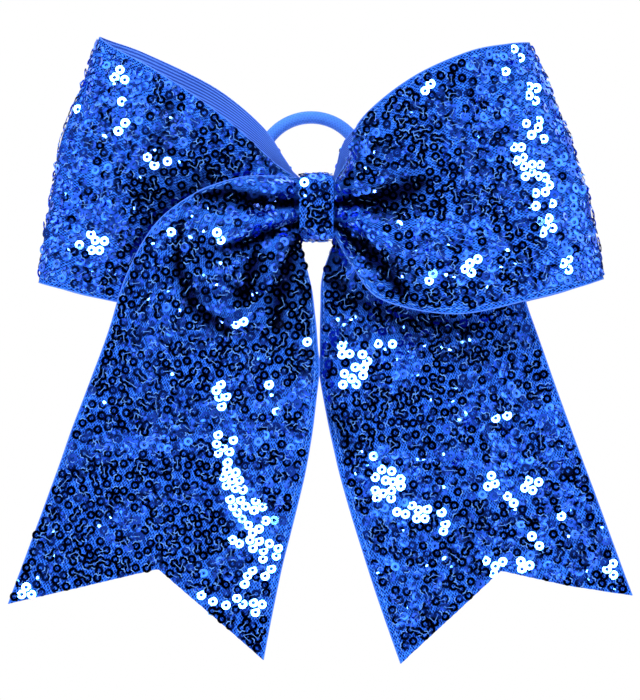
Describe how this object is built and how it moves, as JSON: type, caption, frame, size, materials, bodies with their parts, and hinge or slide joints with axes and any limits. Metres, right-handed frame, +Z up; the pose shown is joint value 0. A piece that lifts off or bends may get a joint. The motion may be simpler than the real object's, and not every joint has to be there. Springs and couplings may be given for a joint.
{
  "type": "cheer hair bow",
  "caption": "Large two-loop hair bow of sequinned mesh over ribbed ribbon, with two V-cut tails, a narrow centre wrap and a round hair elastic behind.",
  "frame": {"origin": "middle of the centre wrap's flat back face", "axes": "+Z up as worn, +Y back towards the head, so the sequinned front faces -Y; +X is to the viewer's right seen from the front"},
  "size_m": [0.187, 0.0318, 0.1884],
  "materials": {
    "ribbed_ribbon": "satin",
    "net_ground": "matte",
    "sequins": "gloss",
    "hot_glue": "satin",
    "polyester_thread": "satin",
    "braided_cover": "satin",
    "rubber_core": "matte",
    "join_sleeve": "gloss"
  },
  "bodies": {
    "centre": {"centre_wrap_backing": "ribbed_ribbon", "centre_wrap_mesh": "net_ground", "centre_wrap_sequins": "sequins", "wrap_glue": "hot_glue", "cinch_thread": "polyester_thread", "front_gather_backing": "ribbed_ribbon", "front_gather_sequin_mesh": "sequins", "middle_gather_backing": "ribbed_ribbon", "middle_gather_sequin_mesh": "sequins", "back_gather_backing": "ribbed_ribbon", "back_gather_sequin_mesh": "sequins"},
    "left_tail": {"left_tail_backing": "ribbed_ribbon", "left_tail_mesh": "net_ground", "left_tail_sequins": "sequins"},
    "right_tail": {"right_tail_backing": "ribbed_ribbon", "right_tail_mesh": "net_ground", "right_tail_sequins": "sequins"},
    "left_loop": {"left_loop_backing": "ribbed_ribbon", "left_loop_mesh": "net_ground", "left_loop_sequins": "sequins"},
    "right_loop": {"right_loop_backing": "ribbed_ribbon", "right_loop_mesh": "net_ground", "right_loop_sequins": "sequins"},
    "hair_elastic": {"hair_elastic_cover": "braided_cover", "hair_elastic_core": "rubber_core", "elastic_join_sleeve": "join_sleeve"}
  },
  "joints": [
    {"name": "left_tail_sway", "type": "hinge", "parent": "centre", "child": "left_tail", "pos_m": [-0.006, -0.0171, 0.009], "axis": [-1, 0, 0], "range_deg": [-3, 25], "stiffness_Nm_per_rad": 0.003},
    {"name": "right_tail_sway", "type": "hinge", "parent": "centre", "child": "right_tail", "pos_m": [0.006, -0.0138, 0], "axis": [-1, 0, 0], "range_deg": [-8, 0], "stiffness_Nm_per_rad": 0.003},
    {"name": "left_loop_flex", "type": "hinge", "parent": "centre", "child": "left_loop", "pos_m": [-0.006, -0.0121, 0], "axis": [0, 0, 1], "range_deg": [-3, 3], "stiffness_Nm_per_rad": 0.01},
    {"name": "right_loop_flex", "type": "hinge", "parent": "centre", "child": "right_loop", "pos_m": [0.006, -0.0138, 0], "axis": [0, 0, 1], "range_deg": [-3, 0], "stiffness_Nm_per_rad": 0.01},
    {"name": "elastic_swing", "type": "hinge", "parent": "centre", "child": "hair_elastic", "pos_m": [0, -0.00545, -0.0036], "axis": [-1, 0, 0], "range_deg": [0, 150]}
  ]
}
